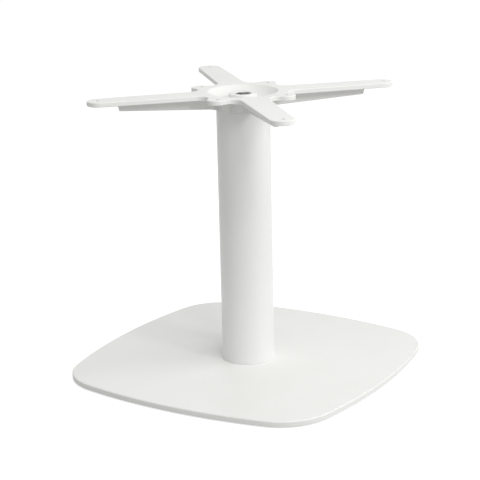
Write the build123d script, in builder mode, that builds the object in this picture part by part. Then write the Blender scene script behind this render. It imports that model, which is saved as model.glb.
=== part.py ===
"""Coffee table base: steel foot plate, round column and a cast four-arm top spider.

Everything is in millimetres with +Z up. The origin is on the floor, under the middle of the column.
The plate's sides lie along X and Y, the long arms point to its corners and the short ears to its sides.
"""
import os
from math import asin, atan2, cos, degrees, radians, sin, sqrt

from build123d import *

# foot plate: a square whose sides bow outwards and whose corners are round
plate_half = 220.0          # from the axis to the middle of a side
plate_side_r = 738.0        # radius of the bow of each side
plate_corner_r = 81.0
plate_t = 8.0
plate_top_edge = 1.0
plate_under_edge = 0.6

# glides stuck under the plate
glide_r = 13.0
glide_h = 2.0
glide_from_axis = 222.0
glide_edge = 0.4

# column
tube_r = 38.0
tube_wall = 2.0
tube_len = 370.0
tube_edge = 0.4

# threaded tie rod with its nuts and washer
rod_r = 5.0
rod_hole_gap = 0.5          # radial room where the rod only passes through
rod_end_chamfer = 1.0
rod_short_of_floor = 0.8    # the rod stops this far above the plate's underside
rod_above_nut = 1.0
nut_across_flats = 17.0
nut_h = 6.0
nut_chamfer_angle = 30.0
washer_r = 10.5
washer_t = 2.0

# disc that centres the foot of the tube
disc_t = 5.0
disc_edge = 1.0
tube_fit_gap = 0.3          # radial room between the tube and what goes inside it

# spider: flat arms and ears
hub_h = 25.0                # from the top of the tube to the table top
arm_t = 6.5
arm_root_r = 20.5           # an arm narrows from this half-width on the axis
arm_end_r = 17.0            # to this round end
arm_end_from_axis = 204.0   # where the round end has its centre
arm_hole_from_axis = 207.5
ear_r = 14.0
ear_hole_from_axis = 69.0
screw_hole_r = 3.25
notch_r = 13.5              # round inner corner between an ear and an arm
arm_edge = 0.7

# spider: hub, collar, dish and the ring that stands in the dish round the nut
dish_r = 50.0
dish_depth = 11.5
dish_rim_edge = 0.8
ring_r = 20.0
ring_below_top = 3.0
ring_edge = 1.0
washer_gap = 1.0            # room for a box spanner between the washer and the ring
dish_wall = 5.0             # thickness of the bowl under the dish
collar_wall = 9.0
spigot_len = 12.0
spigot_lead = 1.5
core_roof_t = 7.0           # metal left under the dish, over the hollow of the collar

# spider: ribs under the arms and webs under the ears
rib_t = 9.0                 # at the arm, from where its sides lean inwards
rib_lean = 2.0              # degrees, so that the casting leaves its mould
rib_end_from_axis = 178.5   # where the rib runs out, at the arm
rib_end_lean = 2.5
rib_tip_h = 9.8             # height of the rib below the arm at its outer end
rib_root_h = 16.5           # the same, near the collar
rib_knee_from_collar = 10.0
rib_knee_r = 20.0
rib_edge = 1.2
web_t = 10.0
web_out_top = 12.0          # how far the web stands out from the collar under the ear
web_out_foot = 10.5
web_above_tube = 2.0

# levels
plate_z = glide_h
plate_top_z = plate_z + plate_t
disc_top_z = plate_top_z + disc_t
tube_top_z = plate_top_z + tube_len
top_z = tube_top_z + hub_h
arm_z = top_z - arm_t
dish_floor_z = top_z - dish_depth
washer_top_z = dish_floor_z + washer_t
top_nut_z = washer_top_z + nut_h
spigot_z = tube_top_z - spigot_len
core_roof_z = dish_floor_z - core_roof_t
ring_top_z = top_z - ring_below_top

tube_bore_r = tube_r - tube_wall
tube_plug_r = tube_bore_r - tube_fit_gap
rod_hole_r = rod_r + rod_hole_gap
core_r = tube_r - collar_wall
ring_bore_r = washer_r + washer_gap
nut_corner_r = nut_across_flats / 2 / cos(radians(30))


# Foot plate. Each side arc has its centre on an axis of the plate and each corner arc its own on a
# diagonal, where the two arcs share a tangent.
side_centre = plate_half - plate_side_r
arc_gap = plate_side_r - plate_corner_r
corner_centre = (side_centre + sqrt(2 * arc_gap**2 - side_centre**2)) / 2
bow = degrees(atan2(corner_centre, corner_centre - side_centre))

with BuildPart() as base_plate:
    with BuildSketch(Plane.XY.offset(plate_z)):
        with BuildLine():
            for turn in (0, 90, 180, 270):
                side = Vector(side_centre, 0).rotate(Axis.Z, turn)
                corner = Vector(corner_centre, corner_centre).rotate(Axis.Z, turn)
                CenterArc(side, plate_side_r, turn - bow, 2 * bow)
                CenterArc(corner, plate_corner_r, turn + bow, 90 - 2 * bow)
        make_face()
        Circle(rod_r, mode=Mode.SUBTRACT)
    extrude(amount=plate_t)
    chamfer(base_plate.faces().sort_by(Axis.Z)[-1].outer_wire().edges(), plate_top_edge)
    chamfer(base_plate.faces().sort_by(Axis.Z)[0].outer_wire().edges(), plate_under_edge)

with BuildPart() as floor_glides:
    with BuildSketch():
        with PolarLocations(glide_from_axis, 4, start_angle=45):
            Circle(glide_r)
    extrude(amount=glide_h)
    chamfer(floor_glides.faces().filter_by(Axis.Z).group_by(Axis.Z)[0].edges(), glide_edge)

# Disc, lock nut and rod inside the column.
with BuildPart() as centring_disc:
    with BuildSketch(Plane.XY.offset(plate_top_z)):
        Circle(tube_plug_r)
        Circle(rod_hole_r, mode=Mode.SUBTRACT)
    extrude(amount=disc_t)
    chamfer(centring_disc.faces().sort_by(Axis.Z)[-1].outer_wire().edges(), disc_edge)


def hex_nut(foot_z):
    """A thin nut on the rod: a hexagon whose corners are turned down on the upper side."""
    corner_drop = (nut_corner_r - nut_across_flats / 2) * sin(radians(nut_chamfer_angle))
    with BuildPart() as nut:
        with BuildSketch(Plane.XY.offset(foot_z)):
            RegularPolygon(nut_across_flats / 2, 6, major_radius=False)
        extrude(amount=nut_h)
        with BuildSketch(Plane.XZ):
            with Locations((0, foot_z)):
                Polygon(
                    (rod_r, 0),
                    (nut_corner_r, 0),
                    (nut_corner_r, nut_h - corner_drop),
                    (nut_across_flats / 2, nut_h),
                    (rod_r, nut_h),
                    align=None,
                )
        revolve(axis=Axis.Z, mode=Mode.INTERSECT)
    return nut


lock_nut = hex_nut(disc_top_z)
top_nut = hex_nut(washer_top_z)

with BuildPart() as tie_rod:
    with BuildSketch(Plane.XY.offset(plate_z + rod_short_of_floor)):
        Circle(rod_r)
    extrude(amount=top_nut_z + rod_above_nut - plate_z - rod_short_of_floor)
    chamfer(tie_rod.edges().filter_by(GeomType.CIRCLE), rod_end_chamfer)

with BuildPart() as top_washer:
    with BuildSketch(Plane.XY.offset(dish_floor_z)):
        Circle(washer_r)
        Circle(rod_hole_r, mode=Mode.SUBTRACT)
    extrude(amount=washer_t)

# Column.
with BuildPart() as column_tube:
    with BuildSketch(Plane.XY.offset(plate_top_z)):
        Circle(tube_r)
        Circle(tube_bore_r, mode=Mode.SUBTRACT)
    extrude(amount=tube_len)
    chamfer(column_tube.edges().filter_by(GeomType.CIRCLE).group_by(SortBy.RADIUS)[-1], tube_edge)

# One rib of a long arm and one web of an ear, each drawn from the side for the direction +X. They start
# inside the wall of the collar, so that they grow out of it.
root_r = (core_r + tube_r) / 2
rib_tip_z = arm_z - rib_tip_h
rib_root_z = arm_z - rib_root_h

with BuildPart() as arm_rib:
    with BuildSketch(Plane.XY.offset(arm_z)):
        with Locations((rib_end_from_axis / 2, 0)):
            Rectangle(2 * rib_end_from_axis, rib_t)
    extrude(amount=-(hub_h - arm_t), taper=rib_lean)
    with BuildSketch(Plane.XZ):
        Polygon(
            (root_r, arm_z),
            (root_r, tube_top_z),
            (tube_r, tube_top_z),
            (tube_r + rib_knee_from_collar, rib_root_z),
            (rib_end_from_axis - rib_end_lean, rib_tip_z),
            (rib_end_from_axis, arm_z),
            align=None,
        )
        fillet(vertices().sort_by(Axis.X)[3], rib_knee_r)
    extrude(amount=rib_t, both=True, mode=Mode.INTERSECT)
    low_edges = edges().filter_by(lambda e: e.center().X > tube_r and e.center().Z < rib_tip_z + rib_edge)
    chamfer(low_edges.filter_by(lambda e: abs(e.center().Y) > rib_t / 4), rib_edge)

with BuildPart() as ear_web:
    with BuildSketch(Plane.XY.offset(arm_z)):
        with Locations((tube_r, 0)):
            Rectangle(2 * tube_r, web_t)
    extrude(amount=-(hub_h - arm_t), taper=rib_lean)
    with BuildSketch(Plane.XZ):
        Polygon(
            (root_r, arm_z),
            (root_r, tube_top_z + web_above_tube),
            (tube_r + web_out_foot, tube_top_z + web_above_tube),
            (tube_r + web_out_top, arm_z),
            align=None,
        )
    extrude(amount=web_t, both=True, mode=Mode.INTERSECT)
    outer_edges = edges().filter_by(lambda e: e.center().X > tube_r and abs(e.center().Y) > web_t / 4)
    chamfer(outer_edges.filter_by(lambda e: e.center().Z < arm_z - rib_edge), rib_edge)

# Outline of the spider from above, worked out for the ear on +X and the lower edge of the arm at 45 degrees.
# The inner corner between them is one arc that touches the ear's round end and the arm's straight edge.
arm_taper = asin((arm_root_r - arm_end_r) / arm_end_from_axis)
across = Vector(1, 0).rotate(Axis.Z, degrees(arm_taper) - 45)      # square to the arm's edge
along = Vector(1, 0).rotate(Axis.Z, degrees(arm_taper) + 45)       # along that edge
ear_hole = Vector(ear_hole_from_axis, 0)
edge_gap = arm_root_r + notch_r - ear_hole.dot(across)
foot = along * (ear_hole.dot(along) + sqrt((ear_r + notch_r) ** 2 - edge_gap**2))
notch = foot + across * (arm_root_r + notch_r)
ear_touch = notch + (ear_hole - notch) * (notch_r / (ear_r + notch_r))
arm_touch = foot + across * arm_root_r
ear_tip = ear_hole + Vector(ear_r, 0)
arm_tip = Vector(arm_end_from_axis + arm_end_r, 0).rotate(Axis.Z, 45)
end_touch = Vector(arm_end_from_axis, 0).rotate(Axis.Z, 45) + across * arm_end_r


def over_arm(point):
    """The same point on the other side of the middle line of the arm at 45 degrees."""
    return Vector(point.Y, point.X)


# The dish is an arc that leaves the foot of the ring level. The bowl's cone runs between two points that lie
# the wall's thickness outside that arc: one at the collar and one at the arms.
arc_r = ((dish_r - ring_r) ** 2 + dish_depth**2) / (2 * dish_depth)
arc_z = dish_floor_z + arc_r
bowl_foot_z = arc_z - sqrt((arc_r + dish_wall) ** 2 - (tube_r - ring_r) ** 2)
bowl_rim_r = ring_r + sqrt((arc_r + dish_wall) ** 2 - (arc_z - arm_z) ** 2)

with BuildLine() as arm_and_ear:
    ThreePointArc(Vector(ear_touch.X, -ear_touch.Y), ear_tip, ear_touch)
    RadiusArc(ear_touch, arm_touch, notch_r)
    Line(arm_touch, end_touch)
    ThreePointArc(end_touch, arm_tip, over_arm(end_touch))
    Line(over_arm(end_touch), over_arm(arm_touch))
    RadiusArc(over_arm(arm_touch), over_arm(ear_touch), notch_r)

with BuildPart() as top_spider:
    # arms and ears, one flat star
    with BuildSketch(Plane.XY.offset(arm_z)):
        with BuildLine():
            with PolarLocations(0, 4):
                add(arm_and_ear.line)
        make_face()
    extrude(amount=arm_t)
    flat_faces = top_spider.faces().filter_by(Axis.Z)
    chamfer(flat_faces.sort_by(Axis.Z)[-1].edges() + flat_faces.sort_by(Axis.Z)[0].edges(), arm_edge)

    # collar with the spigot that enters the tube
    with BuildSketch(Plane.XY.offset(tube_top_z)):
        Circle(tube_r)
    extrude(amount=hub_h - arm_t)
    with BuildSketch(Plane.XY.offset(spigot_z)):
        Circle(tube_plug_r)
    extrude(amount=spigot_len)
    chamfer(top_spider.edges().group_by(Axis.Z)[0], spigot_lead)

    # bowl under the dish: a cone that keeps the wall between the collar and the arms
    with BuildSketch(Plane.XZ):
        Polygon((0, arm_z), (0, bowl_foot_z), (tube_r, bowl_foot_z), (bowl_rim_r, arm_z), align=None)
    revolve(axis=Axis.Z)

    with PolarLocations(0, 4, start_angle=45):
        add(arm_rib.part)
    with PolarLocations(0, 4):
        add(ear_web.part)

    # hollow of the collar, then the dish with its ring
    with BuildSketch(Plane.XY.offset(spigot_z)):
        Circle(core_r)
    extrude(amount=core_roof_z - spigot_z, mode=Mode.SUBTRACT)
    with BuildSketch(Plane.XZ):
        with BuildLine():
            Polyline((dish_r, top_z), (dish_r + hub_h, top_z), (dish_r + hub_h, top_z + hub_h))
            Polyline((dish_r + hub_h, top_z + hub_h), (0, top_z + hub_h), (0, dish_floor_z))
            Polyline((0, dish_floor_z), (ring_bore_r, dish_floor_z), (ring_bore_r, ring_top_z))
            Polyline((ring_bore_r, ring_top_z), (ring_r, ring_top_z), (ring_r, dish_floor_z))
            TangentArc((ring_r, dish_floor_z), (dish_r, top_z), tangent=(1, 0))
        make_face()
        chamfer(vertices().filter_by(lambda v: abs(v.X - dish_r) < dish_rim_edge / 2), dish_rim_edge)
        ring_corners = vertices().filter_by(lambda v: abs(v.Y - ring_top_z) < ring_edge / 2)
        chamfer(ring_corners, ring_edge)
    revolve(axis=Axis.Z, mode=Mode.SUBTRACT)

    # holes for the table top's screws and for the rod
    with BuildSketch(Plane.XY.offset(arm_z)):
        with PolarLocations(arm_hole_from_axis, 4, start_angle=45):
            Circle(screw_hole_r)
        with PolarLocations(ear_hole_from_axis, 4):
            Circle(screw_hole_r)
    extrude(amount=arm_t, mode=Mode.SUBTRACT)
    with BuildSketch(Plane.XY.offset(core_roof_z)):
        Circle(rod_hole_r)
    extrude(amount=core_roof_t, mode=Mode.SUBTRACT)

# One STEP file for each piece.
os.makedirs("parts", exist_ok=True)
pieces = {
    "base_plate": base_plate,
    "floor_glides": floor_glides,
    "centring_disc": centring_disc,
    "lock_nut": lock_nut,
    "tie_rod": tie_rod,
    "top_washer": top_washer,
    "top_nut": top_nut,
    "column_tube": column_tube,
    "top_spider": top_spider,
}
for name, piece in pieces.items():
    piece.part.label = name
    export_step(piece.part, f"parts/{name}.step")
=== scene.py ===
"""Looks of the coffee table base: powder coats, steel finishes, a threaded tie rod, floor, light and camera.

All lengths are in metres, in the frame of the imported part.
"""
from math import cos, pi, radians, sin

import bmesh
import bpy
from mathutils import Matrix, Vector


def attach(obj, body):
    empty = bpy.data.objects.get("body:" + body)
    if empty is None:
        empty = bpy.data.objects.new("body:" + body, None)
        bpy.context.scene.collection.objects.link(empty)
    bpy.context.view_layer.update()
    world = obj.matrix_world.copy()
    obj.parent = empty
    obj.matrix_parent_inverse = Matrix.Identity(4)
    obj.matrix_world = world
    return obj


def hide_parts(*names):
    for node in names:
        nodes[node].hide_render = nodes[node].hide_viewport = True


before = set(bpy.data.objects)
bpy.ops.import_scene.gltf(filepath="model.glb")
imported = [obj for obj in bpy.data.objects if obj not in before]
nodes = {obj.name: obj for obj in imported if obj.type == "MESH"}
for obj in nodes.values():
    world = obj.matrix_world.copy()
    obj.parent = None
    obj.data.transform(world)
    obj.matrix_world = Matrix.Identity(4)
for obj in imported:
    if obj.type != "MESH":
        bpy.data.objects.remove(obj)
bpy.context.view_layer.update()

collection = bpy.context.scene.collection


class Socket:
    """One output of a node. Arithmetic on it adds Math nodes."""

    def __init__(self, finish, output):
        self.finish = finish
        self.output = output

    def math(self, operation, first, second):
        return self.finish.node("ShaderNodeMath", {"operation": operation}, {0: first, 1: second})

    def __add__(self, other):
        return self.math("ADD", self, other)

    def __radd__(self, other):
        return self.math("ADD", other, self)

    def __mul__(self, other):
        return self.math("MULTIPLY", self, other)

    def __rmul__(self, other):
        return self.math("MULTIPLY", other, self)


class Finish:
    """A tree of shader nodes, for a material or for the world."""

    def __init__(self, name, world=False):
        self.owner = (bpy.data.worlds if world else bpy.data.materials).new(name)
        self.owner.use_nodes = True
        self.tree = self.owner.node_tree
        self.tree.nodes.clear()
        self.end = self.tree.nodes.new("ShaderNodeOutputWorld" if world else "ShaderNodeOutputMaterial")

    def node(self, kind, settings={}, inputs={}, output=0):
        """Adds a node: first its settings, then the values or links of its sockets."""
        made = self.tree.nodes.new(kind)
        for key, value in settings.items():
            if key == "stops":
                for stop, (place, colour) in zip(made.color_ramp.elements, value):
                    stop.position = place
                    stop.color = (*colour, 1)
            else:
                setattr(made, key, value)
        for key, value in inputs.items():
            if isinstance(value, Socket):
                self.tree.links.new(value.output, made.inputs[key])
            else:
                made.inputs[key].default_value = value
        return Socket(self, made.outputs[output])

    def place(self, stretch=(1, 1, 1)):
        """The object's own coordinates in metres, stretched or not."""
        coordinates = self.node("ShaderNodeTexCoord", output=3)
        return self.node("ShaderNodeMapping", {}, {"Vector": coordinates, "Scale": stretch})

    def noise(self, place, size, detail):
        """Soft noise from 0 to 1 whose blotches are about this size in metres."""
        return self.node("ShaderNodeTexNoise", {}, {"Vector": place, "Scale": 1 / size, "Detail": detail})

    def ramp(self, value, low, high):
        """Runs from one colour to another between two values."""
        return self.node("ShaderNodeValToRGB", {"stops": (low, high)}, {"Fac": value})

    def mix(self, amount, first, second):
        """A colour between two others."""
        return self.node("ShaderNodeMix", {"data_type": "RGBA"}, {0: amount, 6: first, 7: second}, output=2)

    def bump(self, height, strength, distance, under=None):
        """Relief of this height in metres, over another relief or straight on the surface."""
        inputs = {"Height": height, "Strength": strength, "Distance": distance}
        if under:
            inputs["Normal"] = under
        return self.node("ShaderNodeBump", {}, inputs)

    def show(self, surface):
        """Gives the owner this surface and hands the owner back."""
        self.tree.links.new(surface.output, self.end.inputs["Surface"])
        return self.owner

    def shade(self, **sockets):
        """The principled shader, with its sockets named in Python's manner."""
        named = {key.replace("_", " ").title(): value for key, value in sockets.items()}
        return self.show(self.node("ShaderNodeBsdfPrincipled", {}, named))


def dress(node, material):
    """Gives a carried-over CAD node its finished material."""
    for slot in nodes[node].material_slots:
        slot.material = material


# Powder coat: a fine orange peel over the whole surface, hardly any change of colour.
PLATE_WHITE = (0.845, 0.845, 0.822, 1)
PLATE_SHADE = (0.83, 0.83, 0.805, 1)
TUBE_WHITE = (0.832, 0.833, 0.825, 1)
TUBE_SHADE = (0.816, 0.817, 0.807, 1)
CAST_WHITE = (0.825, 0.825, 0.803, 1)
CAST_SHADE = (0.808, 0.808, 0.784, 1)
COAT_CLOUD = 0.07
COAT_PEEL = 0.0016
CAST_GRAIN = 0.009
CAST_DEPTH = 0.0003


def powder_coat(name, white, shade, smooth, rough, peel_depth, cast=False):
    """Satin powder coat between two tones and two values of roughness, on sheet steel or on a casting."""
    coat = Finish(name)
    place = coat.place()
    cloud = coat.noise(place, COAT_CLOUD, detail=3)
    peel = coat.noise(place, COAT_PEEL, detail=2)
    fine = coat.noise(place, COAT_PEEL / 4, detail=1)
    relief = coat.bump(peel + fine * 0.25, 0.35, peel_depth)
    if cast:
        relief = coat.bump(coat.noise(place, CAST_GRAIN, detail=3), 0.5, CAST_DEPTH, relief)
    return coat.shade(
        base_color=coat.mix(coat.ramp(cloud, (0.35, (0, 0, 0)), (0.7, (1, 1, 1))), white, shade),
        roughness=smooth + (cloud * 0.5 + peel * 0.5) * (rough - smooth),
        normal=relief,
    )


def zinc_steel():
    """Dull zinc plate on turned steel: blotchy grey with faint rings of the tool."""
    zinc = Finish("zinc_steel")
    blotch = zinc.noise(zinc.place(), 0.004, detail=4)
    rings = zinc.noise(zinc.place(stretch=(1, 1, 6)), 0.0008, detail=2)
    return zinc.shade(
        base_color=zinc.ramp(blotch, (0.3, (0.2, 0.2, 0.195)), (0.7, (0.36, 0.355, 0.34))),
        metallic=1.0,
        roughness=0.38 + blotch * 0.25,
        normal=zinc.bump(rings + blotch * 0.5, 0.4, 0.00012),
    )


def black_oxide_and_painted_shade():
    """Blackened steel of the top nut and washer: nearly black, oily and a little brown where it is thin. The
    near-black colour is partly the steel's own and partly painted shade of the recess round the nut.
    """
    oxide_and_painted_shade = Finish("dark_steel")
    place = oxide_and_painted_shade.place()
    blotch = oxide_and_painted_shade.noise(place, 0.003, detail=4)
    grain = oxide_and_painted_shade.noise(place, 0.0004, detail=2)
    return oxide_and_painted_shade.shade(
        base_color=oxide_and_painted_shade.ramp(blotch, (0.35, (0.03, 0.03, 0.032)), (0.7, (0.085, 0.08, 0.074))),
        metallic=0.7,
        roughness=0.36 + blotch * 0.24,
        normal=oxide_and_painted_shade.bump(grain + blotch * 0.5, 0.4, 0.0001),
    )


def cut_steel():
    """Plain cut steel disc inside the column, with a mill skin."""
    steel = Finish("cut_steel")
    skin = steel.noise(steel.place(), 0.012, detail=5)
    return steel.shade(
        base_color=steel.ramp(skin, (0.35, (0.17, 0.165, 0.16)), (0.65, (0.34, 0.33, 0.315))),
        metallic=1.0,
        roughness=0.45 + skin * 0.25,
        normal=steel.bump(skin, 0.3, 0.0002),
    )


def glide_plastic():
    """Pale moulded pads under the plate, a little dusty."""
    pad = Finish("glide_plastic")
    place = pad.place()
    grain = pad.noise(place, 0.0007, detail=2)
    dust = pad.noise(place, 0.008, detail=4)
    return pad.shade(
        base_color=pad.mix(dust, (0.72, 0.72, 0.7, 1), (0.6, 0.595, 0.57, 1)),
        roughness=0.6 + grain * 0.25,
        normal=pad.bump(grain, 0.4, 0.00015),
    )


zinc = zinc_steel()
oxide_and_painted_shade = black_oxide_and_painted_shade()
dress("base_plate", powder_coat("plate_coat", PLATE_WHITE, PLATE_SHADE, 0.34, 0.5, 0.00006))
dress("column_tube", powder_coat("tube_coat", TUBE_WHITE, TUBE_SHADE, 0.3, 0.44, 0.00005))
dress("top_spider", powder_coat("spider_coat", CAST_WHITE, CAST_SHADE, 0.36, 0.54, 0.00009, cast=True))
# The nut and washer get a near-black colour that is partly painted shade of the recess round them.
dress("top_nut", oxide_and_painted_shade)
dress("top_washer", oxide_and_painted_shade)
dress("tie_rod", zinc)
dress("lock_nut", zinc)
dress("centring_disc", cut_steel())
dress("floor_glides", glide_plastic())

# Tie rod: a length of threaded rod with broken ends, in place of the plain cylinder.
THREAD_PITCH = 0.0015
THREAD_CREST = 0.00495
THREAD_ROOT = 0.00408
THREAD_STEPS = 24
THREAD_PROFILE = (
    (THREAD_ROOT, 0.0), (THREAD_ROOT, 0.25), (THREAD_CREST, 0.5625), (THREAD_CREST, 0.6875), (THREAD_ROOT, 1.0),
)
THREAD_SPARE = 2 * THREAD_PITCH
ROD_CHAMFER = 0.001
ROD_CREASE = radians(30)
MERGE_WITHIN = 0.000005
CUT_WITHIN = 0.000002


def threaded_rod(low, high):
    """One turn of the thread is spun, repeated upwards, then cut off square at both ends and closed."""
    shape = bmesh.new()
    start = low - THREAD_SPARE
    corners = [shape.verts.new((reach, 0, start + share * THREAD_PITCH)) for reach, share in THREAD_PROFILE]
    for lower, upper in zip(corners, corners[1:]):
        shape.edges.new((lower, upper))
    bmesh.ops.spin(
        shape, geom=shape.verts[:] + shape.edges[:], axis=(0, 0, 1), angle=2 * pi, steps=THREAD_STEPS,
        dvec=(0, 0, THREAD_PITCH / THREAD_STEPS),
    )
    length = THREAD_PITCH
    while length < high - low + 2 * THREAD_SPARE:
        copied = bmesh.ops.duplicate(shape, geom=shape.verts[:] + shape.edges[:] + shape.faces[:])["geom"]
        raised = [part for part in copied if isinstance(part, bmesh.types.BMVert)]
        bmesh.ops.translate(shape, verts=raised, vec=(0, 0, length))
        length *= 2
    bmesh.ops.remove_doubles(shape, verts=shape.verts, dist=MERGE_WITHIN)
    for end, way in ((low, -1), (high, 1)):
        bmesh.ops.bisect_plane(
            shape, geom=shape.verts[:] + shape.edges[:] + shape.faces[:], dist=CUT_WITHIN,
            plane_co=(0, 0, end), plane_no=(0, 0, way), clear_outer=True,
        )
        for corner in shape.verts:
            limit = THREAD_CREST - ROD_CHAMFER + abs(corner.co.z - end)
            corner.co.xy *= min(1, limit / corner.co.xy.length)
        rim = [
            edge for edge in shape.edges
            if edge.is_boundary and all(abs(corner.co.z - end) < 2 * CUT_WITHIN for corner in edge.verts)
        ]
        bmesh.ops.edgeloop_fill(shape, edges=rim)
    bmesh.ops.recalc_face_normals(shape, faces=shape.faces)
    for face in shape.faces:
        face.smooth = True
    mesh = bpy.data.meshes.new("threaded_rod")
    shape.to_mesh(mesh)
    shape.free()
    mesh.set_sharp_from_angle(angle=ROD_CREASE)
    return mesh


rod_heights = [corner.co.z for corner in nodes["tie_rod"].data.vertices]
rod = bpy.data.objects.new("threaded_rod", threaded_rod(min(rod_heights), max(rod_heights)))
rod.data.materials.append(zinc)
collection.objects.link(rod)
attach(rod, "root")
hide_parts("tie_rod")

# Camera, solved from the photograph: it looks down 16 degrees from 31 degrees right of the front.
IMAGE = 480
FOCAL_PIXELS = 1588.939
SENSOR = 36.0
CAMERA_REACH = 50
CAMERA_AT = Vector((1.1311, -1.8862, 0.8206))
CAMERA_AZIMUTH = radians(31.178)
CAMERA_ELEVATION = radians(16.064)
CAMERA_ROLL = radians(-1.348)

level_back = Vector((sin(CAMERA_AZIMUTH), -cos(CAMERA_AZIMUTH), 0))
level_right = Vector((cos(CAMERA_AZIMUTH), sin(CAMERA_AZIMUTH), 0))
back = level_back * cos(CAMERA_ELEVATION) + Vector((0, 0, sin(CAMERA_ELEVATION)))
right = cos(CAMERA_ROLL) * level_right + sin(CAMERA_ROLL) * back.cross(level_right)

camera = bpy.data.objects.new("camera", bpy.data.cameras.new("camera"))
camera.data.sensor_fit = "HORIZONTAL"
camera.data.sensor_width = SENSOR
camera.data.lens = FOCAL_PIXELS * SENSOR / IMAGE
camera.data.clip_end = CAMERA_REACH
camera.matrix_world = (
    Matrix.Translation(CAMERA_AT) @ Matrix((right, back.cross(right), back)).transposed().to_4x4()
)
collection.objects.link(camera)
bpy.context.scene.camera = camera

# Floor: it keeps the object's shadow and reads white in the camera.
FLOOR_HALF = 6.0
FLOOR_GREY = (0.5, 0.5, 0.5, 1)
FLOOR_LIFT = 0.75
WHITE = (1, 1, 1, 1)


def seen_directly(finish):
    """1 for rays from the camera, or by way of metal and glass, and 0 for the light that a surface sends on."""
    camera_ray, glossy_ray, through_ray = (
        finish.node("ShaderNodeLightPath", output=kind)
        for kind in ("Is Camera Ray", "Is Glossy Ray", "Is Transmission Ray")
    )
    mirrored = finish.node("ShaderNodeMath", {"operation": "MAXIMUM"}, {0: glossy_ray, 1: through_ray})
    return finish.node("ShaderNodeMath", {"operation": "MAXIMUM"}, {0: camera_ray, 1: mirrored})


def floor_paper():
    """Grey paper to the light that it sends on, lifted to white for the eye except in shadow."""
    paper = Finish("floor_paper")
    lit = paper.node("ShaderNodeBsdfDiffuse", {}, {"Color": FLOOR_GREY})
    lift = paper.node("ShaderNodeEmission", {}, {"Color": WHITE, "Strength": FLOOR_LIFT})
    lifted = paper.node("ShaderNodeAddShader", {}, {0: lit, 1: lift})
    return paper.show(paper.node("ShaderNodeMixShader", {}, {0: seen_directly(paper), 1: lit, 2: lifted}))


shape = bmesh.new()
bmesh.ops.create_grid(shape, x_segments=1, y_segments=1, size=FLOOR_HALF)
floor = bpy.data.objects.new("floor", bpy.data.meshes.new("floor"))
shape.to_mesh(floor.data)
shape.free()
floor.data.materials.append(floor_paper())
collection.objects.link(floor)

# World: white where the camera sees it, plain soft light elsewhere.
WORLD_LIGHT = 0.53
WORLD_SEEN = 1.0


def room_light():
    room = Finish("room", world=True)
    soft = room.node("ShaderNodeBackground", {}, {"Color": WHITE, "Strength": WORLD_LIGHT})
    white = room.node("ShaderNodeBackground", {}, {"Color": WHITE, "Strength": WORLD_SEEN})
    return room.show(room.node("ShaderNodeMixShader", {}, {0: seen_directly(room), 1: soft, 2: white}))


bpy.context.scene.world = room_light()

# Three soft lamps in front and to the right, as the shades in the photograph fall.
LAMP_AIM = Vector((0, 0, 0.2))
LAMP_DISTANCE = 2.8


def soft_lamp(name, azimuth, elevation, size, power):
    """A square lamp that faces the middle of the base. Its azimuth counts from the camera to the right."""
    level = level_back * cos(radians(azimuth)) + level_right * sin(radians(azimuth))
    away = level * cos(radians(elevation)) + Vector((0, 0, sin(radians(elevation))))
    light = bpy.data.lights.new(name, "AREA")
    light.shape = "SQUARE"
    light.size = size
    light.energy = power
    lamp = bpy.data.objects.new(name, light)
    lamp.location = LAMP_AIM + away * LAMP_DISTANCE
    lamp.rotation_euler = away.to_track_quat("Z", "Y").to_euler()
    collection.objects.link(lamp)


soft_lamp("right_lamp", azimuth=86, elevation=34, size=1.8, power=21)
soft_lamp("small_lamp", azimuth=48, elevation=34, size=0.55, power=16)
soft_lamp("top_lamp", azimuth=20, elevation=50, size=1.0, power=20)

bpy.context.scene.view_settings.view_transform = "Standard"
